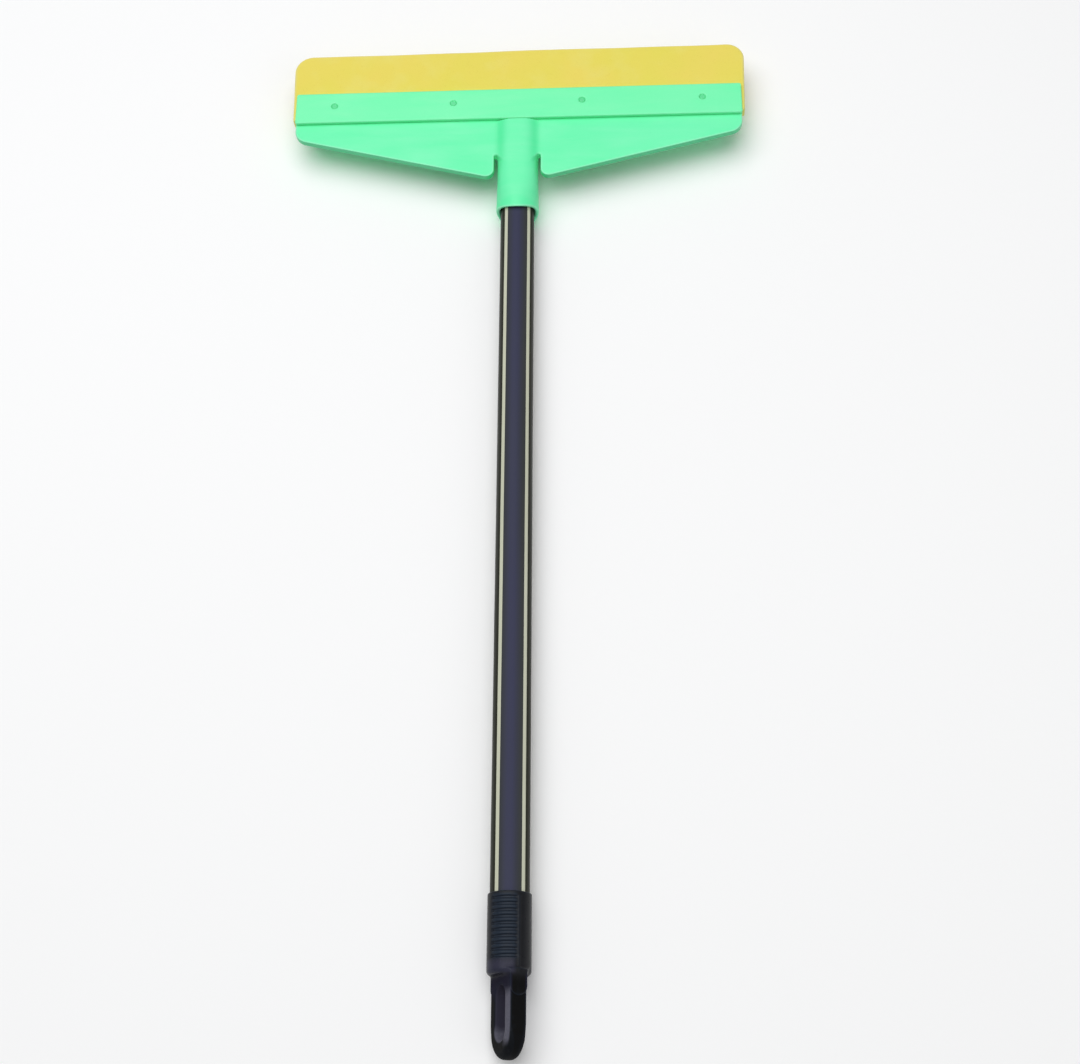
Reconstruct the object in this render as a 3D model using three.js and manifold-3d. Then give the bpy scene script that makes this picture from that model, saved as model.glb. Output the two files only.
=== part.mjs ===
// Foam-blade squeegee on a straight pole, lying on its back.
// X runs along the blade, Y along the pole towards the blade, Z up through the front face.
// Millimetres. Pieces are laid out about the pole's axis with the socket mouth at y = 0,
// and the whole is then moved so that the origin is under the middle of its box.
import * as THREE from "three";
import { mergeVertices } from "three/addons/utils/BufferGeometryUtils.js";
import Module from "manifold-3d";

const wasm = await Module();
wasm.setup();

// ---- driving dimensions -------------------------------------------------------------
const GAP = 0.3;               // clearance between neighbouring pieces

// foam blade
const BLADE_W = 305;           // twelve inches
const BLADE_T = 8;
const BLADE_Z = 2.6;           // rear face, above the pole's axis
const BLADE_TIP_Y = 130.5;
const BLADE_ROOT_Y = 75.5;
const BLADE_CORNER_R = 12.5;
const FLEX_Y = 99.5;           // line about which the free lip bends
const FLEX_Z = BLADE_Z + BLADE_T / 2;

// front clamp strip
const STRIP_W = 299.4;
const STRIP_Y0 = 71.6;
const STRIP_Y1 = 95.8;
const STRIP_Z0 = BLADE_Z + BLADE_T + GAP;
const STRIP_Z1 = 13.1;

// pins through the clamp
const PIN_X = [-123.6, -43.2, 43.2, 123.6];
const PIN_Y = 85.2;
const PIN_R = 1.7;
const PIN_HOLE_R = 2.0;
const PIN_HEAD_R = 3.5;
const PIN_HEAD_T = 1.8;
const PIN_TIP_Z = 12.7;

// head moulding
const WING_W = 299;
const WING_Z1 = 10.4;          // front face of the wings
const WING_T = 2.4;
const SKIRT_Z0 = 5.8;          // lower edge of the skirt round the wings
const SKIRT_T = 2.2;
const WING_TIP_Y = 60.0;       // lower edge line at the wing's end
const WING_IN_Y = 25.4;        // lower edge line beside the socket
const WING_IN_X = 15.5;
const WING_CORNER_R = 7;
const NOTCH_TOP_Y = 44;        // top of the slit between wing and socket
const WALL_Y0 = 72.4;          // step wall between wings and rear jaw
const WALL_Y1 = 75.2;
const JAW_W = 297.6;
const CHANNEL_W = 280;         // the channel behind the jaw stops short of its ends
const JAW_Z1 = BLADE_Z - GAP;  // front face of the rear jaw
const JAW_Z0 = -0.4;
const BACK_Z = -14;            // rear edge of the stiffening channel
const CHANNEL_WALL = 2.4;
const RIB_T = 2.0;
const WING_RIBS_X = [50, 95];
const CHANNEL_RIBS_X = [-108, -64.8, -21.6, 21.6, 64.8, 108];

// socket
const SOCKET_R0 = 14.0;        // at the mouth
const SOCKET_R1 = 13.0;        // at the clamp
const SOCKET_BORE_R = 11.3;
const SOCKET_DEPTH = 60;
const MOUTH_R = 24;            // the mouth is hollowed on its two sides by a cylinder across the pole
const MOUTH_RISE = 4.5;        // how far the sides of the mouth lie above its front and back
const SOCKET_END_Y = 72.8;
const BOSS_END_Y = 71.3;
// the socket grows squarer in section towards the clamp: [from y, power of its section's curve]
const BOSS_STEPS = [[10, 2.3], [18, 2.7], [26, 3.2]];
const BOSS_HALF_X = 13.4;
const BOSS_HALF_Z = 13.1;

// pole
const POLE_R = 11.0;
const FILM_T = 0.4;
const TUBE_R = 10.3;
const TUBE_WALL = 0.5;
const POLE_TOP_Y = 57.0;
const POLE_END_Y = -482.7;
const PLUG_FLANGE_R = 10.6;
const PLUG_FLANGE_T = 2.0;
const PLUG_SPIGOT_L = 16;

// grip with hanging loop
const GRIP_RIM_Y = -442.5;
const GRIP_R = 12.2;
const GRIP_BORE_R = 11.3;
const GRIP_BORE_END_Y = -483.2;
const GRIP_SHOULDER_Y = -486.2;
const GRIP_TONGUE_Y = -497.8;
const GRIP_TONGUE_W = 10.4;
const GRIP_END_Y = -529.5;
const LOOP_W = 23.4;
const LOOP_T = 10.4;
const LOOP_SLOT_W = 10.4;
const LOOP_SLOT_Y1 = -491.5;
const LOOP_SLOT_Y0 = -519.5;
const LOOP_TURN = 60;          // degrees round the pole, from the head's plane

const ROUND = 48;              // sides of a full circle

// ---- geometry helpers ---------------------------------------------------------------
function solid(geometry) {
  const g = geometry.clone();
  g.deleteAttribute("normal");
  g.deleteAttribute("uv");
  const m = mergeVertices(g, 1e-4);
  return new wasm.Manifold(new wasm.Mesh({
    numProp: 3,
    vertProperties: new Float32Array(m.attributes.position.array),
    triVerts: new Uint32Array(m.index.array),
  }));
}

function geometryOf(manifold) {
  const mesh = manifold.getMesh();
  const g = new THREE.BufferGeometry();
  g.setAttribute("position", new THREE.BufferAttribute(new Float32Array(mesh.vertProperties), 3));
  g.setIndex(new THREE.BufferAttribute(new Uint32Array(mesh.triVerts), 1));
  g.computeVertexNormals();
  return g;
}

function box(x0, x1, y0, y1, z0, z1) {
  const g = new THREE.BoxGeometry(x1 - x0, y1 - y0, z1 - z0);
  g.translate((x0 + x1) / 2, (y0 + y1) / 2, (z0 + z1) / 2);
  return solid(g);
}

// closed outline with its corners rounded: corners are [x, y, radius]
function roundedShape(corners, steps = 8) {
  const pts = [];
  const n = corners.length;
  for (let i = 0; i < n; i++) {
    const [x, y, r] = corners[i];
    const p = new THREE.Vector2(x, y);
    if (!r) { pts.push(p); continue; }
    const a = new THREE.Vector2(...corners[(i + n - 1) % n].slice(0, 2)).sub(p).normalize();
    const b = new THREE.Vector2(...corners[(i + 1) % n].slice(0, 2)).sub(p).normalize();
    const half = Math.acos(THREE.MathUtils.clamp(a.dot(b), -1, 1)) / 2;
    const t = r / Math.tan(half);
    const c = p.clone().add(a.clone().add(b).normalize().multiplyScalar(r / Math.sin(half)));
    const s = p.clone().add(a.multiplyScalar(t)).sub(c);
    const e = p.clone().add(b.multiplyScalar(t)).sub(c);
    const a0 = Math.atan2(s.y, s.x);
    let d = Math.atan2(e.y, e.x) - a0;
    if (d > Math.PI) d -= 2 * Math.PI;
    if (d < -Math.PI) d += 2 * Math.PI;
    for (let k = 0; k <= steps; k++) {
      const w = a0 + d * k / steps;
      pts.push(new THREE.Vector2(c.x + r * Math.cos(w), c.y + r * Math.sin(w)));
    }
  }
  return new THREE.Shape(pts);
}

function plate(corners, z0, z1, steps = 8) {
  const g = new THREE.ExtrudeGeometry(roundedShape(corners, steps), { depth: z1 - z0, bevelEnabled: false });
  g.translate(0, 0, z0);
  return solid(g);
}

// corners moved inwards by d, for a polygon listed anticlockwise
function inset(corners, d) {
  const n = corners.length;
  const lines = corners.map(([x, y], i) => {
    const [x2, y2] = corners[(i + 1) % n];
    const l = Math.hypot(x2 - x, y2 - y);
    const nx = -(y2 - y) / l, ny = (x2 - x) / l;
    return { nx, ny, c: nx * x + ny * y + d };
  });
  return corners.map(([, , r], i) => {
    const a = lines[(i + n - 1) % n], b = lines[i];
    const det = a.nx * b.ny - a.ny * b.nx;
    return [(a.c * b.ny - b.c * a.ny) / det, (a.nx * b.c - b.nx * a.c) / det, r ? Math.max(r - d, 0.8) : 0];
  });
}

// body of revolution about the pole's axis: profile points are [radius, y]
function turned(profile, sides = ROUND) {
  const pts = profile.map(([r, y]) => new THREE.Vector2(r, y));
  return solid(new THREE.LatheGeometry(pts, sides));
}

// round bar along Z
function bar(x, y, r, z0, z1, sides = 24) {
  const g = new THREE.CylinderGeometry(r, r, z1 - z0, sides);
  g.rotateX(Math.PI / 2);
  g.translate(x, y, (z0 + z1) / 2);
  return solid(g);
}

// ---- head body ----------------------------------------------------------------------
function wingCorners(side) {
  const c = [
    [8, WALL_Y1, 0],
    [8, NOTCH_TOP_Y, 0],
    [WING_IN_X, NOTCH_TOP_Y, 0],
    [WING_IN_X, WING_IN_Y, WING_CORNER_R],
    [WING_W / 2, WING_TIP_Y, WING_CORNER_R],
    [WING_W / 2, WALL_Y1, 0],
  ];
  return side > 0 ? c : c.map(([x, y, r]) => [-x, y, r]).reverse();
}

let head = turned([
  [0, SOCKET_END_Y], [0, 0.0], [SOCKET_R0 - 0.8, 0], [SOCKET_R0, 0.8],
  [SOCKET_R1, SOCKET_END_Y - 0.6], [SOCKET_R1 - 0.6, SOCKET_END_Y], [0, SOCKET_END_Y],
].slice(1));
// squarer stretches between the wings
for (const [y0, power] of BOSS_STEPS) {
  const section = [];
  for (let k = 0; k < ROUND; k++) {
    const w = 2 * Math.PI * k / ROUND, c = Math.cos(w), s = Math.sin(w);
    const r = 1 / Math.pow(Math.abs(c) ** power + Math.abs(s) ** power, 1 / power);
    section.push(new THREE.Vector2(BOSS_HALF_X * r * c, BOSS_HALF_Z * r * s));
  }
  const boss = new THREE.ExtrudeGeometry(new THREE.Shape(section), { depth: SOCKET_END_Y - y0, bevelEnabled: false });
  boss.rotateX(-Math.PI / 2);
  boss.translate(0, y0, 0);
  head = head.add(solid(boss));
}
for (const side of [-1, 1]) {
  const c = wingCorners(side);
  let wing = plate(c, SKIRT_Z0, WING_Z1);
  const pocket = [
    [10, WALL_Y0 - 0.01, 0],
    [10, NOTCH_TOP_Y + SKIRT_T, 0],
    [WING_IN_X + SKIRT_T, NOTCH_TOP_Y + SKIRT_T, 0],
    [WING_IN_X, WING_IN_Y, WING_CORNER_R],
    [WING_W / 2, WING_TIP_Y, WING_CORNER_R],
    [WING_W / 2 - SKIRT_T, WALL_Y0 - 0.01, 0],
  ];
  const low = inset([[WING_IN_X, 90, 0], [WING_IN_X, WING_IN_Y, WING_CORNER_R],
    [WING_W / 2, WING_TIP_Y, WING_CORNER_R], [WING_W / 2, 90, 0]], SKIRT_T);
  pocket[3] = low[1];
  pocket[4] = low[2];
  const p = side > 0 ? pocket : pocket.map(([x, y, r]) => [-x, y, r]).reverse();
  wing = wing.subtract(plate(p, SKIRT_Z0 - 5, WING_Z1 - WING_T));
  for (const x of WING_RIBS_X) {
    const slope = (WING_TIP_Y - WING_IN_Y) / (WING_W / 2 - WING_IN_X);
    const y0 = WING_IN_Y + slope * (x - WING_IN_X) + 1.5;
    wing = wing.add(box(side * x - RIB_T / 2, side * x + RIB_T / 2, y0, WALL_Y1, SKIRT_Z0 + 0.6, WING_Z1 - 1));
  }
  head = head.add(wing);
}
// step wall, rear jaw and the stiffening channel behind it
head = head.add(box(-WING_W / 2, WING_W / 2, WALL_Y0, WALL_Y1, SKIRT_Z0, WING_Z1));
let channel = box(-JAW_W / 2, JAW_W / 2, WALL_Y0, STRIP_Y1, JAW_Z0, JAW_Z1)
  .add(box(-CHANNEL_W / 2, CHANNEL_W / 2, WALL_Y0, STRIP_Y1, BACK_Z, JAW_Z1 - 0.5))
  .add(box(-JAW_W / 2, JAW_W / 2, WALL_Y0, WALL_Y1, JAW_Z1 - 1, WING_Z1 - 1));
const cells = [-CHANNEL_W / 2 + CHANNEL_WALL - RIB_T / 2, ...CHANNEL_RIBS_X, CHANNEL_W / 2 - CHANNEL_WALL + RIB_T / 2];
for (let i = 0; i + 1 < cells.length; i++) {
  channel = channel.subtract(box(cells[i] + RIB_T / 2, cells[i + 1] - RIB_T / 2,
    WALL_Y1, STRIP_Y1 - CHANNEL_WALL, BACK_Z - 1, JAW_Z0));
}
head = head.add(channel);
// the raised boss stops short of the strip
head = head.subtract(box(-30, 30, BOSS_END_Y, WALL_Y1 + 5, WING_Z1, 20));
// slits beside the socket, with round tops
for (const side of [-1, 1]) {
  const x = side * (BOSS_HALF_X + WING_IN_X) / 2;
  const w = (WING_IN_X - BOSS_HALF_X) / 2;
  head = head.subtract(bar(x, NOTCH_TOP_Y, w, SKIRT_Z0 - 2, WING_Z1 + 2));
}
// relief behind the boss, open to the rear, and the pole's bore
head = head.subtract(box(-9, 9, SOCKET_DEPTH + 2.6, WALL_Y0, BACK_Z - 2, 8));
head = head.subtract(turned([[0, -1], [SOCKET_BORE_R + 0.6, -1], [SOCKET_BORE_R + 0.6, 0.01],
  [SOCKET_BORE_R, 0.8], [SOCKET_BORE_R, SOCKET_DEPTH], [0, SOCKET_DEPTH]]));
const hollow = new THREE.CylinderGeometry(MOUTH_R, MOUTH_R, 60, 96);
hollow.rotateZ(Math.PI / 2);
hollow.translate(0, MOUTH_RISE - MOUTH_R, 0);
head = head.subtract(solid(hollow));
for (const x of PIN_X) head = head.subtract(bar(x, PIN_Y, PIN_HOLE_R, JAW_Z0 - 5, JAW_Z1 + 1));

// ---- clamp strip --------------------------------------------------------------------
let strip = plate([
  [-STRIP_W / 2, STRIP_Y0, 1.5], [STRIP_W / 2, STRIP_Y0, 1.5],
  [STRIP_W / 2, STRIP_Y1, 1.5], [-STRIP_W / 2, STRIP_Y1, 1.5],
], STRIP_Z0, STRIP_Z1, 4);
for (const x of PIN_X) strip = strip.subtract(bar(x, PIN_Y, PIN_HOLE_R, STRIP_Z0 - 1, STRIP_Z1 + 1));

// ---- foam blade ---------------------------------------------------------------------
let root = box(-BLADE_W / 2, BLADE_W / 2, BLADE_ROOT_Y, FLEX_Y - BLADE_T / 2 - GAP, BLADE_Z, BLADE_Z + BLADE_T);
for (const x of PIN_X) root = root.subtract(bar(x, PIN_Y, PIN_HOLE_R, BLADE_Z - 1, BLADE_Z + BLADE_T + 1));

// section of the lip: round at the bending line, square at the working edge
const lipSection = [];
for (let k = 0; k <= 16; k++) {
  const w = Math.PI / 2 + Math.PI * k / 16;
  lipSection.push(new THREE.Vector2(FLEX_Y + BLADE_T / 2 * Math.cos(w), FLEX_Z + BLADE_T / 2 * Math.sin(w)));
}
lipSection.push(new THREE.Vector2(BLADE_TIP_Y, BLADE_Z), new THREE.Vector2(BLADE_TIP_Y, BLADE_Z + BLADE_T));
const lipGeometry = new THREE.ExtrudeGeometry(new THREE.Shape(lipSection), { depth: BLADE_W, bevelEnabled: false });
lipGeometry.applyMatrix4(new THREE.Matrix4().makeBasis(
  new THREE.Vector3(0, 1, 0), new THREE.Vector3(0, 0, 1), new THREE.Vector3(1, 0, 0)));
lipGeometry.translate(-BLADE_W / 2, 0, 0);
const lip = solid(lipGeometry).intersect(plate([
  [-BLADE_W / 2, 60, 0], [BLADE_W / 2, 60, 0],
  [BLADE_W / 2, BLADE_TIP_Y, BLADE_CORNER_R], [-BLADE_W / 2, BLADE_TIP_Y, BLADE_CORNER_R],
], BLADE_Z - 1, BLADE_Z + BLADE_T + 1));

// ---- pins ---------------------------------------------------------------------------
function pin(x) {
  const seat = JAW_Z0 - GAP;
  return bar(x, PIN_Y, PIN_R, seat - PIN_HEAD_T / 2, PIN_TIP_Z)
    .add(bar(x, PIN_Y, PIN_HEAD_R, seat - PIN_HEAD_T, seat));
}

// ---- pole ---------------------------------------------------------------------------
function pipe(r0, r1, y0, y1) {
  return turned([[r0, y0], [r1, y0], [r1, y1], [r0, y1], [r0, y0]]);
}
const tube = pipe(TUBE_R - TUBE_WALL, TUBE_R, POLE_END_Y, POLE_TOP_Y);
const film = pipe(POLE_R - FILM_T, POLE_R, POLE_END_Y, POLE_TOP_Y);
const plug = turned([
  [0, POLE_TOP_Y - PLUG_SPIGOT_L], [TUBE_R - TUBE_WALL - GAP - 0.6, POLE_TOP_Y - PLUG_SPIGOT_L],
  [TUBE_R - TUBE_WALL - GAP, POLE_TOP_Y - PLUG_SPIGOT_L + 1.5],
  [TUBE_R - TUBE_WALL - GAP, POLE_TOP_Y + GAP], [PLUG_FLANGE_R, POLE_TOP_Y + GAP],
  [PLUG_FLANGE_R, POLE_TOP_Y + GAP + PLUG_FLANGE_T - 0.6], [PLUG_FLANGE_R - 0.6, POLE_TOP_Y + GAP + PLUG_FLANGE_T],
  [0, POLE_TOP_Y + GAP + PLUG_FLANGE_T],
]);

// ---- grip ---------------------------------------------------------------------------
let loop = plate([
  [-LOOP_W / 2, GRIP_END_Y, LOOP_W / 2 - 0.01], [LOOP_W / 2, GRIP_END_Y, LOOP_W / 2 - 0.01],
  [LOOP_W / 2, GRIP_SHOULDER_Y + 1.5, 0], [-LOOP_W / 2, GRIP_SHOULDER_Y + 1.5, 0],
], -LOOP_T / 2, LOOP_T / 2, 12);
// tongues of the sleeve that run down over the loop's two edges
const tongues = turned([[0, GRIP_TONGUE_Y - 2], [GRIP_R, GRIP_TONGUE_Y - 2], [GRIP_R, GRIP_SHOULDER_Y + 1], [0, GRIP_SHOULDER_Y + 1]]);
const tongueOutline = new THREE.ExtrudeGeometry(roundedShape([
  [-GRIP_TONGUE_W / 2, GRIP_TONGUE_Y, GRIP_TONGUE_W / 2 - 0.01], [GRIP_TONGUE_W / 2, GRIP_TONGUE_Y, GRIP_TONGUE_W / 2 - 0.01],
  [GRIP_TONGUE_W / 2, GRIP_SHOULDER_Y + 2, 0], [-GRIP_TONGUE_W / 2, GRIP_SHOULDER_Y + 2, 0],
], 8), { depth: 40, bevelEnabled: false });
tongueOutline.rotateY(Math.PI / 2);
tongueOutline.translate(-20, 0, 0);
loop = loop.add(tongues.intersect(solid(tongueOutline)));
// hanging slot
loop = loop.subtract(plate([
  [-LOOP_SLOT_W / 2, LOOP_SLOT_Y0, LOOP_SLOT_W / 2 - 0.01], [LOOP_SLOT_W / 2, LOOP_SLOT_Y0, LOOP_SLOT_W / 2 - 0.01],
  [LOOP_SLOT_W / 2, LOOP_SLOT_Y1, LOOP_SLOT_W / 2 - 0.01], [-LOOP_SLOT_W / 2, LOOP_SLOT_Y1, LOOP_SLOT_W / 2 - 0.01],
], -20, 20, 8));
const sleeve = turned([
  [0, GRIP_SHOULDER_Y], [GRIP_R - 1.6, GRIP_SHOULDER_Y], [GRIP_R, GRIP_SHOULDER_Y + 1.6],
  [GRIP_R, GRIP_RIM_Y - 0.6], [GRIP_R - 0.4, GRIP_RIM_Y], [GRIP_BORE_R, GRIP_RIM_Y],
  [GRIP_BORE_R, GRIP_BORE_END_Y], [0, GRIP_BORE_END_Y],
]);
const turn = new THREE.Matrix4().makeRotationY(-THREE.MathUtils.degToRad(LOOP_TURN));
const loopGeometry = geometryOf(loop);
loopGeometry.applyMatrix4(turn);
const grip = sleeve.add(solid(loopGeometry));

// ---- scene graph --------------------------------------------------------------------
const squeegee = new THREE.Group();
squeegee.position.set(0, -(BLADE_TIP_Y + GRIP_END_Y) / 2, -BACK_Z);

function piece(parent, name, manifold, color, roughness, metalness) {
  const mesh = new THREE.Mesh(geometryOf(manifold), new THREE.MeshStandardMaterial({ color, roughness, metalness }));
  mesh.name = name;
  parent.add(mesh);
}

const headGroup = new THREE.Group();
piece(headGroup, "head_body", head, 0x74fbb2, 0.42, 0);
piece(headGroup, "clamp_strip", strip, 0x7dfdb5, 0.42, 0);
piece(headGroup, "blade_root", root, 0xebdd62, 0.85, 0);
PIN_X.forEach((x, i) => piece(headGroup, `clamp_pin_${i + 1}`, pin(x), 0x5fdf95, 0.45, 0));
squeegee.add(headGroup);

const bladeGroup = new THREE.Group();
piece(bladeGroup, "blade_lip", lip, 0xebdd62, 0.85, 0);
squeegee.add(bladeGroup);

const poleGroup = new THREE.Group();
piece(poleGroup, "pole_tube", tube, 0xa8abae, 0.35, 1);
piece(poleGroup, "pole_sleeve", film, 0x3b3d45, 0.5, 0);
piece(poleGroup, "pole_plug", plug, 0x1d1d20, 0.6, 0);
piece(poleGroup, "grip", grip, 0x17171c, 0.5, 0);
squeegee.add(poleGroup);

export default squeegee;
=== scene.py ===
import math

import bpy
import numpy as np
from mathutils import Matrix, Vector


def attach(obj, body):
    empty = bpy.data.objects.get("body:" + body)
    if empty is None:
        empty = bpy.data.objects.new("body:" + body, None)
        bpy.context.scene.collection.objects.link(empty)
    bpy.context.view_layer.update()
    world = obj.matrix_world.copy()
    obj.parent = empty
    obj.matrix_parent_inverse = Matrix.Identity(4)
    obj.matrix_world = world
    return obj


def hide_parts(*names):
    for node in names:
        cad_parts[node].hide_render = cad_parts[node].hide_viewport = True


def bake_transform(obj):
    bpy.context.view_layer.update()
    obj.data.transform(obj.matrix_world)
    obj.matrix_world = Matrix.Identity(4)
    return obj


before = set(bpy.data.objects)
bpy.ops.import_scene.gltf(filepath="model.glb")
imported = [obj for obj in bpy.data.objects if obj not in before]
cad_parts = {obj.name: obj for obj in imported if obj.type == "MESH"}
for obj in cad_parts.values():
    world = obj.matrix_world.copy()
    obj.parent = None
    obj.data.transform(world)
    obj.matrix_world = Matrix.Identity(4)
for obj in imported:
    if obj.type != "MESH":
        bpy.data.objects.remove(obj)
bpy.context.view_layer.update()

MM = 0.001
SHIFT = np.array([0.0, 199.5, 14.0])
scene = bpy.context.scene


def row(x, y, z):
    return Vector(((x + SHIFT[0]) * MM, (y + SHIFT[1]) * MM, (z + SHIFT[2]) * MM))


# ---- camera -----------------------------------------------------------------------------
cam_data = bpy.data.cameras.new("photo_camera")
cam_data.sensor_fit = "HORIZONTAL"
cam_data.sensor_width = 36.0
cam_data.lens = 55.0
cam_data.clip_start = 0.01
cam_data.clip_end = 50.0
camera = bpy.data.objects.new("photo_camera", cam_data)
scene.collection.objects.link(camera)
right = Vector((0.99891, 0.00406, -0.04652))
up = Vector((0.01518, 0.91387, 0.40574))
back = Vector((0.04416, -0.40599, 0.91281))
eye = row(59.48, -627.99, 905.04)
camera.matrix_world = Matrix((
    (right.x, up.x, back.x, eye.x),
    (right.y, up.y, back.y, eye.y),
    (right.z, up.z, back.z, eye.z),
    (0, 0, 0, 1),
))
scene.camera = camera


# ---- distance fields --------------------------------------------------------------------
def ease(a, b, v):
    t = np.clip((v - a) / (b - a), 0.0, 1.0)
    return t * t * (3 - 2 * t)


def join(a, b, k):
    """Union with a soft inner corner."""
    h = np.clip(0.5 + 0.5 * (b - a) / k, 0.0, 1.0)
    return b + (a - b) * h - k * h * (1 - h)


def common(a, b, k):
    """Intersection with a soft edge."""
    return -join(-a, -b, k)


def cut(a, b, k):
    """a without b, with a soft edge."""
    return -join(-a, b, k)


def corner(a, b, r):
    """Intersection with an edge rounded to radius r."""
    p, q = a + r, b + r
    return np.minimum(np.maximum(p, q), 0) + np.hypot(np.maximum(p, 0), np.maximum(q, 0)) - r


def slab(v, lo, hi):
    return np.abs(v - (lo + hi) / 2) - (hi - lo) / 2


def stadium(u, v, lo, hi, r):
    """Slot outline: width along u, round ends at v = lo and hi."""
    return np.hypot(u, v - np.clip(v, lo + r, hi - r)) - r


# ---- mesher -----------------------------------------------------------------------------
def gradient(f, p, h):
    g = np.empty_like(p)
    for i in range(3):
        a, b = p.copy(), p.copy()
        a[:, i] += h
        b[:, i] -= h
        g[:, i] = (f(*a.T) - f(*b.T)) / (2 * h)
    return g


def settle(f, p, rounds, h=0.05, most=0.5):
    """Move points onto the surface along the field's slope."""
    for _ in range(rounds):
        g = gradient(f, p, h)
        v = f(*p.T)
        s = v / np.maximum((g * g).sum(1), 0.05)
        p = p - np.clip(s, -most, most)[:, None] * g
    return p


def surface(f, lo, hi, step):
    lo, hi = np.array(lo, float), np.array(hi, float)
    n = np.ceil((hi - lo) / step).astype(int) + 1
    axes = [lo[i] + step * np.arange(n[i]) for i in range(3)]
    field = f(axes[0][:, None, None], axes[1][None, :, None], axes[2][None, None, :])
    field = np.ascontiguousarray(np.broadcast_to(field, n), dtype=np.float32)
    inside = field < 0
    count = np.zeros(n - 1, np.int8)
    offs = [(a, b, c) for a in (0, 1) for b in (0, 1) for c in (0, 1)]
    for a, b, c in offs:
        count += inside[a:n[0] - 1 + a, b:n[1] - 1 + b, c:n[2] - 1 + c]
    active = (count > 0) & (count < 8)
    cells = np.argwhere(active)
    index = np.full(active.shape, -1, np.int32)
    index[active] = np.arange(len(cells))
    i, j, k = cells.T
    vals = {o: field[i + o[0], j + o[1], k + o[2]].astype(float) for o in offs}
    total = np.zeros((len(cells), 3))
    hits = np.zeros(len(cells))
    for o in offs:
        for d in range(3):
            if o[d]:
                continue
            q = list(o)
            q[d] = 1
            va, vb = vals[o], vals[tuple(q)]
            m = (va < 0) != (vb < 0)
            t = np.where(m, va / np.where(m, va - vb, 1.0), 0.0)
            pos = np.tile(np.array(o, float), (len(cells), 1))
            pos[:, d] = t
            total[m] += pos[m]
            hits += m
    verts = lo + step * (cells + total / hits[:, None])
    quads = []
    for d in range(3):
        b, c = (d + 1) % 3, (d + 2) % 3
        s0 = [slice(None)] * 3
        s1 = [slice(None)] * 3
        s0[d], s1[d] = slice(0, -1), slice(1, None)
        for other in (b, c):
            s0[other] = s1[other] = slice(1, -1)
        a0, a1 = inside[tuple(s0)], inside[tuple(s1)]
        e = np.argwhere(a0 != a1)
        first = a0[tuple(e.T)]
        e[:, b] += 1
        e[:, c] += 1
        ring = []
        for ob, oc in ((0, 0), (-1, 0), (-1, -1), (0, -1)):
            w = e.copy()
            w[:, b] += ob
            w[:, c] += oc
            ring.append(index[tuple(w.T)])
        q = np.stack(ring, 1)
        q[~first] = q[~first][:, ::-1]
        quads.append(q)
    return verts, np.concatenate(quads)


def fill_mesh(mesh, verts, faces):
    """verts in row-frame metres; faces an array of triangles or quads."""
    k = faces.shape[1]
    mesh.vertices.add(len(verts))
    mesh.vertices.foreach_set("co", verts.astype(np.float32).ravel())
    mesh.loops.add(faces.size)
    mesh.loops.foreach_set("vertex_index", faces.astype(np.int32).ravel())
    mesh.polygons.add(len(faces))
    mesh.polygons.foreach_set("loop_start", np.arange(0, faces.size, k, dtype=np.int32))
    mesh.update(calc_edges=True)
    mesh.validate()


def points_of(mesh):
    co = np.empty(len(mesh.vertices) * 3, np.float32)
    mesh.vertices.foreach_get("co", co)
    return co.reshape(-1, 3).astype(float) / MM - SHIFT


def set_points(mesh, p):
    mesh.vertices.foreach_set("co", ((p + SHIFT) * MM).astype(np.float32).ravel())
    mesh.update()


def modelled(name, f, lo, hi, step, keep=None, h_edge=0.3):
    """A mesh of the field's surface: fine net, thinned on its flat faces, put back on the surface,
    with the field's own normals and a map of its sharp edges and inner corners."""
    verts, quads = surface(f, lo, hi, step)
    verts = settle(f, verts, 2)
    mesh = bpy.data.meshes.new(name)
    fill_mesh(mesh, (verts + SHIFT) * MM, quads)
    obj = bpy.data.objects.new(name, mesh)
    scene.collection.objects.link(obj)
    if keep:
        thin = obj.modifiers.new("thin", "DECIMATE")
        thin.ratio = min(1.0, keep / (2.0 * len(quads)))
        thin.use_collapse_triangulate = True
        flat = bpy.data.meshes.new_from_object(obj.evaluated_get(bpy.context.evaluated_depsgraph_get()))
        obj.modifiers.remove(thin)
        obj.data = flat
        flat.name = name
        bpy.data.meshes.remove(mesh)
        mesh = flat
    p = settle(f, points_of(mesh), 2, most=0.15)
    set_points(mesh, p)
    g = gradient(f, p, 0.06)
    g /= np.maximum(np.linalg.norm(g, axis=1), 1e-9)[:, None]
    bend = -6 * f(*p.T)
    for i in range(3):
        for s in (-h_edge, h_edge):
            q = p.copy()
            q[:, i] += s
            bend = bend + f(*q.T)
    bend = bend / h_edge ** 2
    for key, v in (("edge", bend), ("hollow", -bend)):
        a = mesh.attributes.new(key, "FLOAT", "POINT")
        a.data.foreach_set("value", np.clip(v / 1.2, 0, 1).astype(np.float32))
    mesh.polygons.foreach_set("use_smooth", np.ones(len(mesh.polygons), bool))
    mesh.normals_split_custom_set_from_vertices([tuple(v) for v in g])
    mesh.update()
    return obj


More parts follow.
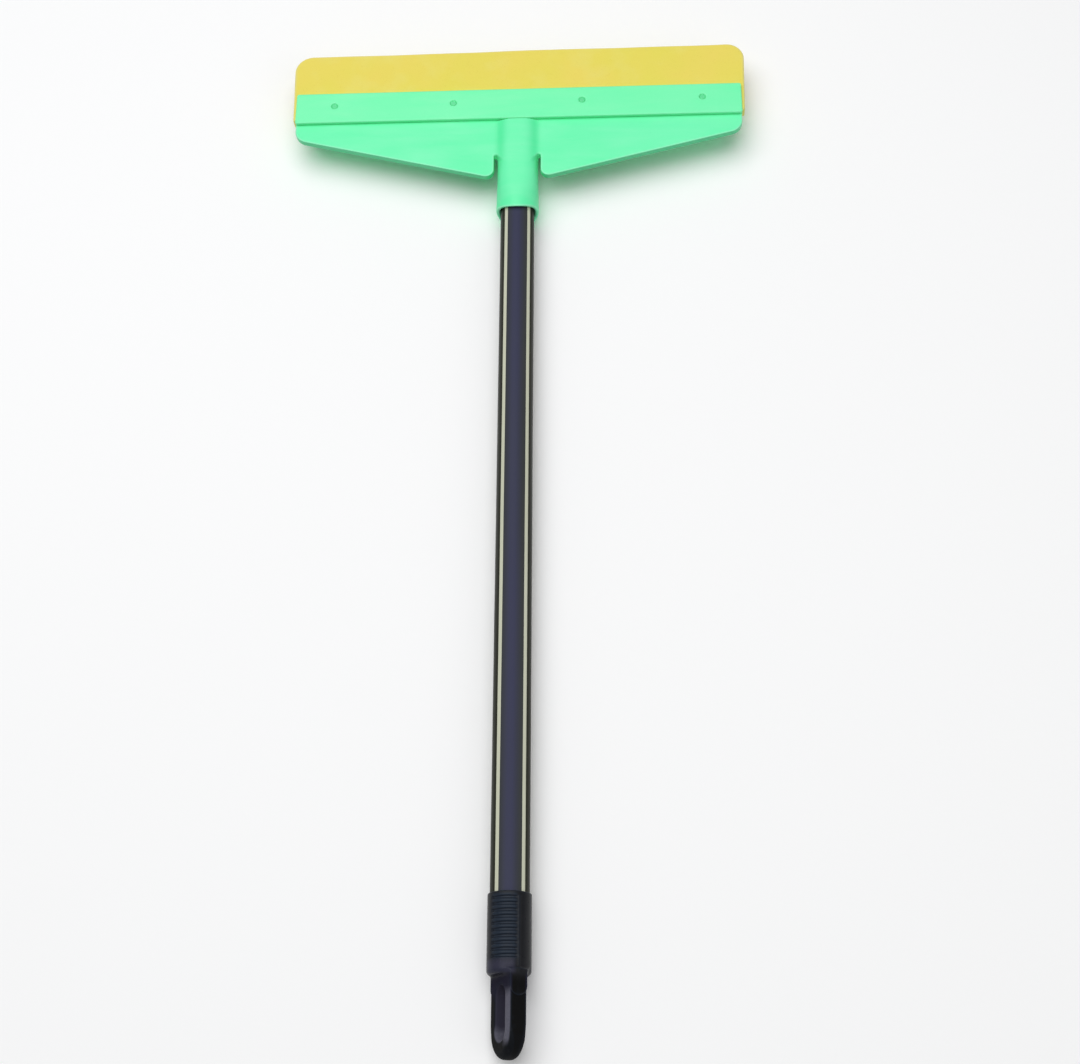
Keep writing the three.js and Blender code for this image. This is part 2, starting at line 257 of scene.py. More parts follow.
def lathe(name, profile, angles, axis="Y", at=(0.0, 0.0, 0.0), swell=None):
    """Closed body of revolution. profile: closed list of (radius, along); angles in degrees.
    swell(angle) gives an extra radius. A point of radius 0 becomes a single vertex."""
    angles = np.radians(np.asarray(angles, float))
    na = len(angles)
    verts, rings = [], []
    for r, t in profile:
        if r < 1e-6:
            rings.append([len(verts)])
            verts.append((0.0, t, 0.0))
            continue
        ring = []
        for w in angles:
            rr = r + (swell(w, r, t) if swell else 0.0)
            ring.append(len(verts))
            verts.append((rr * math.sin(w), t, rr * math.cos(w)))
        rings.append(ring)
    faces, face_angle = [], []
    m = len(profile)
    closed = profile[0][0] > 1e-6 or profile[-1][0] > 1e-6
    for i in range(m if closed else m - 1):
        a, b = rings[i], rings[(i + 1) % m]
        for s in range(na):
            e = (s + 1) % na
            if len(a) == 1 and len(b) == 1:
                continue
            if len(a) == 1:
                faces.append((a[0], b[s], b[e]))
            elif len(b) == 1:
                faces.append((a[s], b[0], a[e]))
            else:
                faces.append((a[s], b[s], b[e], a[e]))
            mid = angles[s] + ((angles[e] - angles[s]) % (2 * math.pi)) / 2
            face_angle.append(math.degrees(mid) % 360)
    out = []
    for x, t, z in verts:
        if axis == "Z":
            x, y, z = x, -z, t
        else:
            y = t
        out.append(row(x + at[0], y + at[1], z + at[2]))
    mesh = bpy.data.meshes.new(name)
    mesh.from_pydata(out, [], faces)
    mesh.validate()
    mesh.update()
    obj = bpy.data.objects.new(name, mesh)
    scene.collection.objects.link(obj)
    return obj, face_angle


def rounded(points, radius, steps=5):
    """Profile with its corners rounded. points: (r, t) or (r, t, radius)."""
    out = []
    n = len(points)
    for i, pt in enumerate(points):
        p = np.array(pt[:2], float)
        rr = pt[2] if len(pt) > 2 else radius
        a = np.array(points[i - 1][:2], float) - p
        b = np.array(points[(i + 1) % n][:2], float) - p
        la, lb = np.linalg.norm(a), np.linalg.norm(b)
        if rr <= 0 or la < 1e-9 or lb < 1e-9:
            out.append(tuple(p))
            continue
        a, b = a / la, b / lb
        half = math.acos(max(-1.0, min(1.0, float(a @ b)))) / 2
        if half > 1.5 or half < 0.05:
            out.append(tuple(p))
            continue
        t = min(rr / math.tan(half), 0.45 * la, 0.45 * lb)
        r = t * math.tan(half)
        m = (a + b) / np.linalg.norm(a + b)
        c = p + m * (r / math.sin(half))
        s, e = p + a * t - c, p + b * t - c
        w0 = math.atan2(s[1], s[0])
        d = math.atan2(e[1], e[0]) - w0
        d = (d + math.pi) % (2 * math.pi) - math.pi
        for k in range(steps + 1):
            w = w0 + d * k / steps
            out.append((c[0] + r * math.cos(w), c[1] + r * math.sin(w)))
    return out


def smooth(obj, angle=35.0):
    obj.data.polygons.foreach_set("use_smooth", np.ones(len(obj.data.polygons), bool))
    obj.data.set_sharp_from_angle(angle=math.radians(angle))
    obj.data.update()


# ---- shapes -----------------------------------------------------------------------------
SLOPE = np.array([149.5 - 15.5, 60.0 - 25.4])
SLOPE = SLOPE / np.linalg.norm(SLOPE)
PINS_X = (-123.6, -43.2, 43.2, 123.6)
PIN_Y = 85.2


def head_field(x, y, z):
    ax = np.abs(x)
    low = (ax - 15.5) * SLOPE[1] - (y - 25.4) * SLOPE[0]
    inner = 15.5 - ax
    outer = ax - 149.5
    # wings with a folded-down skirt, open at the back
    outline = corner(corner(low, inner, 7.0), outer, 7.0)
    outline = join(outline, np.maximum(44.0 - np.clip(13.6 - ax, 0, 5.0) - y, ax - 30.0), 1.8)
    outline = np.maximum(outline, y - 75.2)
    wing = corner(outline, slab(z, 5.8, 10.4), 0.85)
    tray = corner(corner(low + 2.2, inner + 2.2, 4.8), outer + 2.2, 4.8)
    tray = np.minimum(tray, np.maximum(np.maximum(46.2 - y, ax - 30.0), 10.0 - ax))
    ceiling = z - 8.0
    # round ejector marks on the back of the wings
    for xe, ye in ((33.0, 57.0), (72.0, 61.0), (116.0, 66.5)):
        ceiling = ceiling - 0.4 * (1 - ease(2.2, 3.4, np.hypot(ax - xe, y - ye)))
    tray = common(np.maximum(tray, y - 72.4), ceiling, 1.0)
    wing = cut(wing, tray, 1.1)
    for xr in (50.0, 95.0):
        rib = common(np.abs(ax - xr) - 1.0, 6.4 - z, 0.5)
        rib = np.maximum(np.maximum(rib, z - 9.0), np.maximum(low + 1.0, y - 74.0))
        wing = join(wing, rib, 1.0)
    # socket, round at its mouth and squarer between the wings
    t = ease(4.0, 32.0, y)
    p = 2.0 + 1.2 * t
    size = 14.0 - 0.6 * t
    tall = 14.0 - 0.9 * t
    rho = (ax ** p + (np.abs(z) * size / tall) ** p + 1e-9) ** (1 / p)
    mouth = 24.0 - np.hypot(y + 19.5, z)
    socket = corner(rho - size, mouth, 1.1)
    socket = corner(socket, y - 72.8, 0.5)
    body = join(wing, socket, 3.2)
    body = np.maximum(body, -np.maximum(np.maximum(71.3 - y, 10.4 - z), ax - 30.0))
    # step wall, rear jaw and stiffening channel
    wall = corner(np.maximum(ax - 149.5, slab(y, 72.4, 75.2)), slab(z, 5.8, 10.4), 0.4)
    wall = np.minimum(wall, np.maximum(np.maximum(ax - 148.8, slab(y, 72.4, 75.2)), slab(z, 0.5, 9.4)))
    body = join(body, wall, 0.7)
    jaw = corner(corner(ax - 140.0, slab(y, 72.4, 95.8), 1.2), slab(z, -14.0, 1.8), 0.7)
    cell = common(slab(y, 75.2, 93.4), ax - 137.6, 1.5)
    for xr in (21.6, 64.8, 108.0):
        cell = common(cell, 1.0 - np.abs(ax - xr), 1.5)
    cell = common(cell, z + 0.4, 1.0)
    jaw = cut(jaw, cell, 0.5)
    jaw = join(jaw, corner(corner(ax - 148.8, slab(y, 72.4, 95.8), 1.2), slab(z, -0.4, 2.3), 0.6), 0.8)
    body = join(body, jaw, 0.7)
    # pocket behind the boss, the pole's bore and the pin holes
    relief = common(np.maximum(ax - 9.0, slab(y, 62.6, 72.4)), z - 8.0, 1.0)
    body = cut(body, relief, 0.5)
    r2 = np.hypot(x, z)
    bore = np.maximum(r2 - 11.3 - 0.7 * np.clip(1.0 + mouth, 0, 1.6), y - 60.0)
    body = cut(body, bore, 0.35)
    for px in (43.2, 123.6):
        hole = np.maximum(np.hypot(ax - px, y - PIN_Y) - 2.0, slab(z, -5.4, 3.6))
        body = cut(body, hole, 0.3)
    return body


def strip_field(x, y, z):
    plan = corner(slab(x, -149.7, 149.7), slab(y, 71.6, 95.8), 1.5)
    # its lower margin rests on the wings, the rest on the foam
    f = corner(plan, slab(z, 10.9 - 0.42 * ease(75.4, 74.4, y), 13.1), 0.85)
    for px in (43.2, 123.6):
        hole = np.hypot(np.abs(x) - px, y - PIN_Y) - 2.0 - 0.9 * np.clip(z - 12.4, 0, 1.2)
        f = cut(f, hole, 0.3)
    return f


def grip_field(x, y, z):
    rho = np.hypot(x, z)
    u = 0.5 * x + 0.8660254 * z
    n = -0.8660254 * x + 0.5 * z
    # two opposite patches of cross ribs, with smooth sides between
    turn = np.degrees(np.arctan2(n, u))
    off = np.abs((turn - 41.5 + 90.0) % 180.0 - 90.0)
    patch = 1 - ease(31.0, 39.5, off)
    bead = 0.32 * np.exp(-(((turn + 90.0) % 180.0 - 90.0) / 4.6) ** 2)
    d = -442.5 - y
    wave = 0.5 - 0.5 * np.cos(2 * np.pi * (d - 1.75) / 3.45)
    band = ease(2.0, 3.0, d) * (1 - ease(35.3, 36.3, d))
    groove = 0.62 * ease(0.12, 0.88, wave) * band * patch
    run = ease(1.5, 3.5, d)
    sleeve = corner(rho - 12.2 + groove - bead * run, y + 442.5, 0.5)
    sleeve = corner(sleeve, -486.2 - y, 2.6)
    # hanging loop
    plan = np.where(y < -517.8, np.hypot(u, y + 517.8) - 11.7, np.abs(u) - 11.7)
    loop = np.maximum(corner(plan, np.abs(n) - 5.2, 1.3 + 2.6 * ease(-510.0, -527.0, y)), y + 484.7)
    body = join(sleeve, loop, 3.0)
    tip = np.where(y < -492.6, np.hypot(n, y + 492.6) - 5.2, np.abs(n) - 5.2)
    tongue = np.maximum(corner(join(rho - 12.2, np.abs(u) - 12.1, 0.5), tip, 0.5), y + 484.0)
    body = join(body, tongue, 0.4)
    slot = stadium(u, y, -519.8, -491.2, 5.45)
    body = cut(body, slot, 1.6)
    bore = np.maximum(rho - 11.3 + 0.35 * ease(-444.0, -446.5, y), -483.2 - y)
    return cut(body, bore, 0.3)


def blade_field(x, y, z):
    # soft sheet: pinched where the clamp holds it, slightly uneven where it is free
    free = ease(96.0, 103.0, y)
    sway = free * (0.10 * np.sin(x * 0.047 + 0.6) + 0.07 * np.sin(x * 0.121 + 2.1))
    edge = free * (0.16 * np.sin(x * 0.031 + 1.2) + 0.10 * np.sin(x * 0.083 + 0.3))
    half = 151.6 + 1.4 * np.clip((y - 75.0) / 55.0, 0, 1)
    top = corner(np.abs(x) - half, y - 130.2 - edge - 0.006 * (x - 40.0) * free, 12.5)
    plan = corner(top, 75.5 - y, 1.0)
    f = corner(plan, np.abs(z - 6.6 - sway) - 4.0 - 0.18 * free, 1.1)
    for px in (43.2, 123.6):
        hole = np.hypot(np.abs(x) - px, y - PIN_Y) - 2.0
        f = cut(f, hole, 0.2)
    return f


head = modelled("head_moulding", head_field, (-152.3, -1.4, -15.3), (152.3, 99.0, 15.3), 0.55, keep=180000)
strip = modelled("front_strip", strip_field, (-152.47, 69.83, 9.53), (152.5, 99.0, 15.0), 0.6, keep=26000)
grip = modelled("end_grip", grip_field, (-13.6, -531.2, -13.6), (13.6, -441.0, 13.6), 0.3, keep=120000)
blade = modelled("foam_blade", blade_field, (-154.3, 74.0, 1.0), (154.3, 132.4, 12.3), 1.05)

# the hanging loop: a painted highlight along one bar and round the far end of the slot, painted light inside the slot,
# painted shade and a rougher finish elsewhere, and a painted bluish sheen on its broad faces near the shoulder
def mark(obj, key, values):
    obj.data.attributes.new(key, "FLOAT", "POINT").data.foreach_set("value", np.clip(values, 0, 1).astype(np.float32))


spot = points_of(grip.data)
face_n = np.abs(-0.8660254 * spot[:, 0] + 0.5 * spot[:, 2])
bar_u = 0.5 * spot[:, 0] + 0.8660254 * spot[:, 2]
hole = stadium(bar_u, spot[:, 1], -519.8, -491.2, 5.45)
on_face = ease(4.3, 5.0, face_n)
# painted highlight along the near bar's broad face and round the slot's far end
painted_highlight = on_face * ease(-492.0, -498.0, spot[:, 1]) * (1 - ease(-519.0, -524.0, spot[:, 1])) * ease(3.0, 6.0, bar_u)
painted_highlight = np.maximum(painted_highlight, 0.8 * ease(-512.0, -516.0, spot[:, 1]) * (1 - ease(0.6, 1.6, hole)))
mark(grip, "painted_highlight", painted_highlight)
# painted light: the inside of the slot is lighter and bluish, as if lit through the slot
mark(grip, "inner", (1 - ease(0.3, 0.9, hole)) * (1 - ease(4.6, 5.2, face_n)))
# painted shade: the loop is darker, and its roughness is raised
mark(grip, "dull_and_painted_shade", ease(-485.5, -489.5, spot[:, 1]))
# painted bluish sheen on the loop's broad faces near the shoulder, which are also rougher
mark(grip, "matte", ease(3.4, 4.6, face_n) * ease(-485.5, -487.5, spot[:, 1]) * (1 - ease(-494.0, -500.0, spot[:, 1])))
# painted bluish sheen over the rib patches and a painted purplish highlight on one side of the sleeve just below them
around = np.degrees(np.arctan2(-0.8660254 * spot[:, 0] + 0.5 * spot[:, 2], bar_u))
facing = 1 - ease(38.0, 56.0, np.abs((around - 59.0 + 90.0) % 180.0 - 90.0))
ribs = 1 - ease(26.0, 42.0, np.abs((around - 41.5 + 90.0) % 180.0 - 90.0))
mark(grip, "painted_rib_sheen", ribs * ease(-443.0, -445.0, spot[:, 1]) * (1 - ease(-477.0, -480.0, spot[:, 1])))
mark(grip, "painted_shoulder_highlight", facing * ease(-477.5, -480.0, spot[:, 1]) * (1 - ease(-485.0, -488.0, spot[:, 1])))

# painted shade on the outer faces of the wings' skirt
spot = points_of(head.data)
slope = gradient(head_field, spot, 0.06)
upright = ease(0.7, 0.4, np.abs(slope[:, 2]))
mark(head, "skirt", upright * ease(4.9, 5.5, spot[:, 2]) * (1 - ease(9.8, 10.3, spot[:, 2]))
     * ease(72.0, 71.0, spot[:, 1]) * ease(15.0, 16.5, np.abs(spot[:, 0])))

# painted shade on the sides of the boss between the wings
painted_flank_shade = np.exp(-((np.abs(spot[:, 0]) - 11.4) / 2.9) ** 2) * ease(30.0, 44.0, spot[:, 1])
mark(head, "painted_flank_shade", painted_flank_shade * (1 - ease(70.8, 71.6, spot[:, 1])) * ease(9.6, 10.2, spot[:, 2]))

# pins: mushroom head behind the rear jaw, domed tip just below the strip's face
pins = []
pin_profile = rounded([(0, -2.5, 0), (3.5, -2.5, 1.2), (3.5, -0.7, 0.3), (1.7, -0.7, 0.15), (1.75, 11.7, 0.2), (2.0, 12.45, 0.2), (1.5, 12.7, 0.5), (0, 12.7, 0)], 0.3)
for i, px in enumerate(PINS_X):
    o, _ = lathe(f"clamp_pin_{i + 1}_moulded", pin_profile[::-1], np.arange(0, 360, 7.5), axis="Z", at=(px, PIN_Y, 0.0))
    smooth(o, 50)
    pins.append(o)

# shrunk film: printed stripes and an overlapped seam at the back
STRIPES = (4 - 42, 4 + 42, 184 - 42, 184 + 42)
STRIPE_HALF = 6.6
marks = sorted([(s + d) % 360 for s in STRIPES for d in (-STRIPE_HALF, STRIPE_HALF)] + [172.0, 173.0, 195.0, 196.0])
ring_angles = []
for a, b in zip(marks, marks[1:] + [marks[0] + 360]):
    k = max(1, int(round((b - a) / 2.2)))
    ring_angles += [(a + (b - a) * s / k) % 360 for s in range(k)]
ring_angles = sorted(ring_angles)


def seam(w, r, t):
    if r < 10.8:
        return 0.0
    d = math.degrees(w) % 360
    s = 0.13 if 173.0 <= d <= 195.0 else 0.0
    return s + 0.018 * math.sin(0.043 * t + 3 * w) + 0.012 * math.sin(0.117 * t - 2 * w + 1.0)


# drawn in a little where the grip is pushed over it
film_profile = [(10.5, -482.7), (10.79, -482.7), (10.79, -465.0), (10.79, -446.0)]
film_profile += [(11.0, float(t)) for t in np.linspace(-444.0, 56.7, 132)]
film_profile += [(10.95, 57.0), (10.6, 57.0)]
film_profile = film_profile[::-1]
film, film_angles = lathe("printed_film", film_profile, ring_angles, swell=seam)
smooth(film, 30)

tube_profile = rounded([(9.8, 57.0), (9.8, -482.7), (10.3, -482.7), (10.3, 57.0)], 0.15, 3)
tube, _ = lathe("steel_tube", tube_profile[::-1], np.arange(0, 360, 3.75))
smooth(tube, 40)

plug_profile = [(0, 41.0, 0), (8.9, 41.0, 0.5), (9.5, 42.5, 0.4)]
for t in (45.0, 48.0, 51.0):
    plug_profile += [(9.5, t, 0.2), (9.1, t + 0.5, 0.2), (9.1, t + 1.2, 0.2), (9.5, t + 1.7, 0.2)]
plug_profile += [(9.5, 57.3, 0.1), (10.6, 57.3, 0.2), (10.6, 59.3, 0.7), (4.2, 59.3, 0.4), (3.4, 58.3, 0.4), (0, 58.3, 0)]
plug, _ = lathe("tube_plug", rounded(plug_profile, 0.3)[::-1], np.arange(0, 360, 5.0))
smooth(plug, 40)


# ---- materials --------------------------------------------------------------------------
class Shade:
    def __init__(self, name):
        self.material = bpy.data.materials.new(name)
        self.material.use_nodes = True
        self.tree = self.material.node_tree
        self.bsdf = self.tree.nodes["Principled BSDF"]
        self.where = self.node("ShaderNodeTexCoord").outputs["Object"]

    def node(self, kind, **values):
        n = self.tree.nodes.new(kind)
        for key, v in values.items():
            setattr(n, key, v)
        return n

    def link(self, a, b):
        self.tree.links.new(a, b)
        return b

    def place(self, scale, offset=(0, 0, 0)):
        m = self.node("ShaderNodeMapping")
        m.inputs["Scale"].default_value = scale
        m.inputs["Location"].default_value = offset
        self.link(self.where, m.inputs["Vector"])
        return m.outputs["Vector"]

    def noise(self, scale, detail=2.0, rough=0.5, where=None, distort=0.0):
        n = self.node("ShaderNodeTexNoise")
        n.inputs["Scale"].default_value = scale
        n.inputs["Detail"].default_value = detail
        n.inputs["Roughness"].default_value = rough
        n.inputs["Distortion"].default_value = distort
        self.link(where or self.where, n.inputs["Vector"])
        return n.outputs["Fac"]

    def cells(self, scale, where=None, feature="F1", spread=1.0):
        n = self.node("ShaderNodeTexVoronoi", feature=feature)
        n.inputs["Scale"].default_value = scale
        n.inputs["Randomness"].default_value = spread
        self.link(where or self.where, n.inputs["Vector"])
        return n.outputs["Distance"]

    def span(self, value, a, b, c, d):
        n = self.node("ShaderNodeMapRange")
        n.clamp = True
        for key, v in (("From Min", a), ("From Max", b), ("To Min", c), ("To Max", d)):
            n.inputs[key].default_value = v
        self.link(value, n.inputs["Value"])
        return n.outputs["Result"]

    def math(self, op, a, b):
        n = self.node("ShaderNodeMath", operation=op)
        for s, v in ((0, a), (1, b)):
            if isinstance(v, (int, float)):
                n.inputs[s].default_value = v
            else:
                self.link(v, n.inputs[s])
        return n.outputs["Value"]

    def mix(self, fac, a, b):
        n = self.node("ShaderNodeMix", data_type="RGBA")
        ins = [s for s in n.inputs if s.type == "RGBA"]
        out = [s for s in n.outputs if s.type == "RGBA"][0]
        self.link(fac, n.inputs["Factor"])
        for s, v in zip(ins, (a, b)):
            if isinstance(v, tuple):
                s.default_value = (*v, 1.0)
            else:
                self.link(v, s)
        return out

    def attribute(self, key):
        n = self.node("ShaderNodeAttribute")
        n.attribute_name = key
        return n.outputs["Fac"]

    def bump(self, height, strength, distance, normal=None):
        n = self.node("ShaderNodeBump")
        n.inputs["Strength"].default_value = strength
        n.inputs["Distance"].default_value = distance
        self.link(height, n.inputs["Height"])
        if normal is not None:
            self.link(normal, n.inputs["Normal"])
        return n.outputs["Normal"]

    def finish(self, color=None, rough=None, normal=None, **constants):
        if color is not None:
            self.link(color, self.bsdf.inputs["Base Color"])
        if rough is not None:
            self.link(rough, self.bsdf.inputs["Roughness"])
        if normal is not None:
            self.link(normal, self.bsdf.inputs["Normal"])
        for key, v in constants.items():
            self.bsdf.inputs[key.replace("_", " ")].default_value = v
        return self.material


def green_plastic(name, a, b, pale, deep, edge_highlight):
    s = Shade(name)
    cloud = s.span(s.noise(13.0, 2.0, 0.5), 0.32, 0.68, 0, 1)
    flow = s.span(s.noise(3.2, 3.0, 0.55, s.place((6.0, 34.0, 6.0)), 0.6), 0.35, 0.65, 0, 1)
    color = s.mix(cloud, a, b)
    color = s.mix(s.math("MULTIPLY", flow, 0.19), color, pale)
    # painted shade: darker in inner corners and creases
    color = s.mix(s.math("MULTIPLY", s.attribute("hollow"), 0.40), color, deep)
    # painted highlight: paler along sharp edges
    color = s.mix(s.math("MULTIPLY", s.attribute("edge"), edge_highlight), color, pale)
    # painted shade: darker green on the outer faces of the wings' skirt
    color = s.mix(s.math("MULTIPLY", s.attribute("skirt"), 0.85), color, (0.062, 0.56, 0.24))
    # painted shade: darker green on the sides of the boss
    color = s.mix(s.math("MULTIPLY", s.attribute("painted_flank_shade"), 0.45), color, (0.05, 0.80, 0.30))
    speck = s.span(s.noise(650.0, 1.0), 0.70, 0.80, 0, 0.10)
    color = s.mix(speck, color, deep)
    patchy = s.span(s.noise(26.0, 4.0, 0.62, s.place((1.0, 5.0, 1.0))), 0.4, 0.72, 0.0, 1.0)
    rough = s.span(s.math("ADD", s.math("MULTIPLY", patchy, 0.6), s.math("MULTIPLY", s.noise(1900.0, 2.0), 0.4)), 0.1, 0.9, 0.33, 0.52)
    grain = s.bump(s.noise(2600.0, 2.0, 0.55), 0.10, 0.0002)
    normal = s.bump(s.noise(70.0, 2.0), 0.10, 0.0006, grain)
    return s.finish(color, rough, normal, Specular_IOR_Level=0.45)


def foam():
    s = Shade("eva_foam")
    cloud = s.span(s.noise(18.0, 3.0, 0.55), 0.36, 0.66, 0, 1)
    color = s.mix(cloud, (0.805, 0.705, 0.112), (0.845, 0.690, 0.128))
    pale = s.span(s.noise(55.0, 3.0, 0.6), 0.5, 0.75, 0, 0.45)
    color = s.mix(pale, color, (0.83, 0.74, 0.20))
    pores = s.span(s.cells(1150.0), 0.05, 0.32, 1, 0)
    deep = s.span(s.noise(300.0, 2.0), 0.45, 0.65, 0.1, 0.5)
    color = s.mix(s.math("MULTIPLY", pores, deep), color, (0.60, 0.45, 0.055))
    # painted highlight: paler along the rounded edges
    color = s.mix(s.math("MULTIPLY", s.attribute("edge"), 0.55), color, (0.80, 0.74, 0.33))
    rough = s.span(s.noise(700.0, 2.0), 0.3, 0.7, 0.74, 0.94)
    skin = s.bump(s.noise(1500.0, 3.0, 0.65), 0.32, 0.0003)
    skin = s.bump(s.math("MULTIPLY", pores, deep), -0.45, 0.00025, skin)
    normal = s.bump(s.noise(120.0, 2.0), 0.12, 0.0008, skin)
    return s.finish(color, rough, normal, Specular_IOR_Level=0.25)


def printed(name, a, b, spec, painted_blue_sheen=None):
    s = Shade(name)
    streak = s.span(s.noise(1.0, 4.0, 0.6, s.place((900.0, 14.0, 900.0))), 0.3, 0.7, 0, 1)
    cloud = s.span(s.noise(9.0, 3.0, 0.55, s.place((1.0, 0.5, 1.0))), 0.35, 0.65, 0, 1)
    color = s.mix(s.math("ADD", s.math("MULTIPLY", streak, 0.4), s.math("MULTIPLY", cloud, 0.6)), a, b)
    if painted_blue_sheen:
        # painted bluish reflection along the top and bottom centre lines of the pole
        parts = s.node("ShaderNodeSeparateXYZ")
        s.link(s.where, parts.inputs["Vector"])
        across = s.span(s.math("ABSOLUTE", parts.outputs["X"], 0.0), 0.0015, 0.0060, 1, 0)
        color = s.mix(s.math("MULTIPLY", across, s.span(cloud, 0, 1, 0.75, 1.0)), color, painted_blue_sheen)
    scratch = s.span(s.noise(1.0, 3.0, 0.6, s.place((2600.0, 26.0, 2600.0))), 0.62, 0.75, 0, 1)
    rough = s.span(s.math("ADD", s.math("MULTIPLY", cloud, 0.6), s.math("MULTIPLY", scratch, 0.4)), 0, 1, 0.30, 0.52)
    normal = s.bump(s.noise(1.0, 3.0, 0.6, s.place((1500.0, 60.0, 1500.0))), 0.14, 0.0002)
    normal = s.bump(s.noise(160.0, 2.0), 0.10, 0.0005, normal)
    return s.finish(color, rough, normal, Specular_IOR_Level=spec)


def black_plastic():
    s = Shade("black_plastic")
    cloud = s.span(s.noise(60.0, 3.0, 0.55), 0.35, 0.65, 0, 1)
    color = s.mix(cloud, (0.0125, 0.0130, 0.0150), (0.0155, 0.0160, 0.0180))
    # painted bluish sheen over the rib patches
    color = s.mix(s.math("MULTIPLY", s.attribute("painted_rib_sheen"), s.span(cloud, 0, 1, 0.85, 1.0)), color, (0.0225, 0.0320, 0.0480))
    # painted purplish highlight on one side just below the ribs
    color = s.mix(s.math("MULTIPLY", s.attribute("painted_shoulder_highlight"), s.span(cloud, 0, 1, 0.85, 1.0)), color, (0.0370, 0.0360, 0.0600))
    # painted shade: darker in the grooves between the ribs and in inner corners
    color = s.mix(s.math("MULTIPLY", s.attribute("hollow"), 0.7), color, (0.0040, 0.0050, 0.0090))
    # painted shade: the loop darker than the sleeve
    color = s.mix(s.attribute("dull_and_painted_shade"), color, (0.0030, 0.0030, 0.0031))
    # painted bluish sheen on the loop's broad faces near the shoulder
    color = s.mix(s.attribute("matte"), color, (0.0130, 0.0120, 0.0250))
    # painted bluish highlight on the crests of the ribs and other sharp edges
    color = s.mix(s.math("MULTIPLY", s.attribute("edge"), 0.5), color, (0.014, 0.021, 0.034))
    wear = s.span(s.noise(240.0, 4.0, 0.65), 0.55, 0.75, 0, 1)
    color = s.mix(s.math("MULTIPLY", wear, s.attribute("edge")), color, (0.030, 0.031, 0.036))
    patchy = s.span(s.noise(900.0, 3.0, 0.6), 0.3, 0.7, 0.75, 1.0)
    # painted light inside the slot
    color = s.mix(s.attribute("inner"), color, (0.030, 0.028, 0.045))
    # painted highlight on the loop, broken up by noise
    color = s.mix(s.math("MULTIPLY", s.attribute("painted_highlight"), patchy), color, (0.122, 0.119, 0.154))
    rough = s.span(s.noise(480.0, 3.0, 0.6), 0.3, 0.7, 0.26, 0.38)
    rough = s.math("ADD", rough, s.math("MULTIPLY", s.attribute("dull_and_painted_shade"), 0.40))
    rough = s.math("ADD", rough, s.math("MULTIPLY", s.attribute("matte"), 0.22))
    normal = s.bump(s.noise(2200.0, 2.0, 0.6), 0.07, 0.0002)
    normal = s.bump(s.noise(220.0, 2.0), 0.05, 0.0004, normal)
    return s.finish(color, rough, normal, Specular_IOR_Level=0.1)


def steel():
    s = Shade("drawn_steel")
    brush = s.span(s.noise(1.0, 4.0, 0.65, s.place((2400.0, 18.0, 2400.0))), 0.3, 0.7, 0, 1)
    color = s.mix(brush, (0.48, 0.49, 0.51), (0.60, 0.61, 0.62))
    rust = s.span(s.noise(90.0, 4.0, 0.65), 0.66, 0.78, 0, 0.5)
    color = s.mix(rust, color, (0.30, 0.20, 0.13))
    rough = s.span(brush, 0, 1, 0.26, 0.44)
    normal = s.bump(brush, 0.12, 0.0001)
    return s.finish(color, rough, normal, Metallic=1.0)


m_head = green_plastic("green_moulding", (0.112, 0.940, 0.415), (0.148, 0.950, 0.455), (0.34, 0.97, 0.60), (0.055, 0.62, 0.25), 0.70)
m_strip = green_plastic("green_strip", (0.140, 0.955, 0.420), (0.178, 0.960, 0.455), (0.34, 0.97, 0.54), (0.065, 0.66, 0.27), 0.20)
# the pins' own green painted darker: painted shade for their recessed tips
m_pin = green_plastic("green_pin_painted_shade", (0.088, 0.68, 0.275), (0.105, 0.73, 0.30), (0.20, 0.86, 0.42), (0.05, 0.48, 0.19), 0.3)
m_foam = foam()
m_film = printed("film_charcoal", (0.042, 0.045, 0.045), (0.052, 0.055, 0.056), 0.07, (0.042, 0.044, 0.086))
# a much darker copy of the film for the pole's side panels: painted shade
m_side = printed("film_painted_side_shade", (0.015, 0.016, 0.009), (0.021, 0.022, 0.013), 0.07)
m_stripe = printed("film_stripe", (0.54, 0.55, 0.41), (0.64, 0.645, 0.51), 0.20)
m_black = black_plastic()
m_steel = steel()

for obj, mat in ((head, m_head), (strip, m_strip), (grip, m_black), (blade, m_foam), (tube, m_steel), (plug, m_black)):
    obj.data.materials.clear()
    obj.data.materials.append(mat)
for o in pins:
    o.data.materials.append(m_pin)
for m in (m_film, m_stripe, m_side):
    film.data.materials.append(m)


def film_zone(angle):
    for s in STRIPES:
        if abs((angle - s + 180) % 360 - 180) < STRIPE_HALF:
            return 1
    # panels facing up and down take the charcoal film, the side panels the darker copy that paints shade
    return 0 if abs((angle - 4 + 90) % 180 - 90) < 42 else 2


film.data.polygons.foreach_set("material_index", np.array([film_zone(a) for a in film_angles], np.int32))

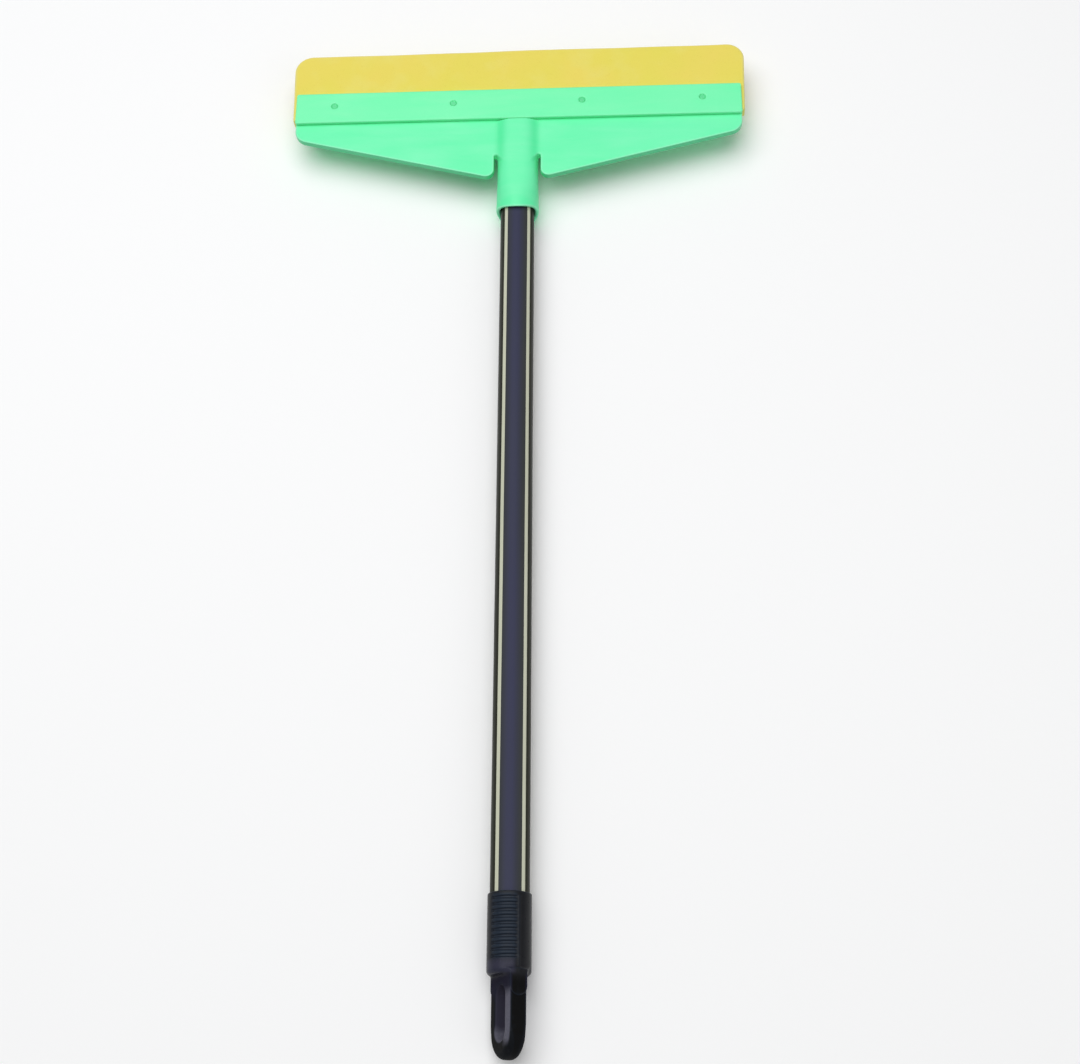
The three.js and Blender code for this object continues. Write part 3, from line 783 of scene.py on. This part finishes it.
# ---- what carries what ------------------------------------------------------------------
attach(head, "head")
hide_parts("head_body")
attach(strip, "head")
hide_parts("clamp_strip")
for i, o in enumerate(pins):
    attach(o, "head")
    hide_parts(f"clamp_pin_{i + 1}")
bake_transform(blade)
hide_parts("blade_root", "blade_lip")
for obj, node, slot in ((film, "pole_sleeve", "dark_film"), (tube, "pole_tube", "steel"),
                        (plug, "pole_plug", "black_plastic"), (grip, "grip", "black_plastic")):
    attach(obj, "pole")
    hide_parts(node)

# ---- stage ------------------------------------------------------------------------------
floor_mesh = bpy.data.meshes.new("floor")
floor_mesh.from_pydata([(-4, -4, 0), (4, -4, 0), (4, 4, 0), (-4, 4, 0)], [], [(0, 1, 2, 3)])
floor = bpy.data.objects.new("floor", floor_mesh)
scene.collection.objects.link(floor)
f = Shade("floor_paper")
f.finish(f.mix(f.noise(3.0, 2.0), (0.975, 0.968, 0.962), (0.985, 0.979, 0.973)), f.span(f.noise(40.0, 2.0), 0.3, 0.7, 0.8, 0.95),
         Specular_IOR_Level=0.1)
floor_mesh.materials.append(f.material)

world = bpy.data.worlds.new("studio")
scene.world = world
world.use_nodes = True
world.node_tree.nodes["Background"].inputs["Color"].default_value = (1.0, 1.0, 1.0, 1.0)
world.node_tree.nodes["Background"].inputs["Strength"].default_value = 0.22


def softbox(name, at, toward, size, watts, color=(1, 1, 1)):
    d = bpy.data.lights.new(name, "AREA")
    d.shape = "RECTANGLE"
    d.size, d.size_y = size
    d.energy = watts
    d.color = color
    o = bpy.data.objects.new(name, d)
    o.location = at
    o.rotation_euler = (Vector(toward) - Vector(at)).to_track_quat("-Z", "Y").to_euler()
    scene.collection.objects.link(o)
    return o


softbox("key", (-0.30, 0.35, 2.0), (0, 0.05, 0.0), (2.4, 2.4), 44.0, (0.97, 0.985, 1.0))
softbox("fill", (1.1, -0.9, 1.3), (0, 0.0, 0.0), (1.4, 1.4), 4.0)

scene.view_settings.view_transform = "Standard"
scene.view_settings.look = "None"
scene.view_settings.exposure = 0.0
scene.view_settings.gamma = 1.0

bpy.context.view_layer.update()
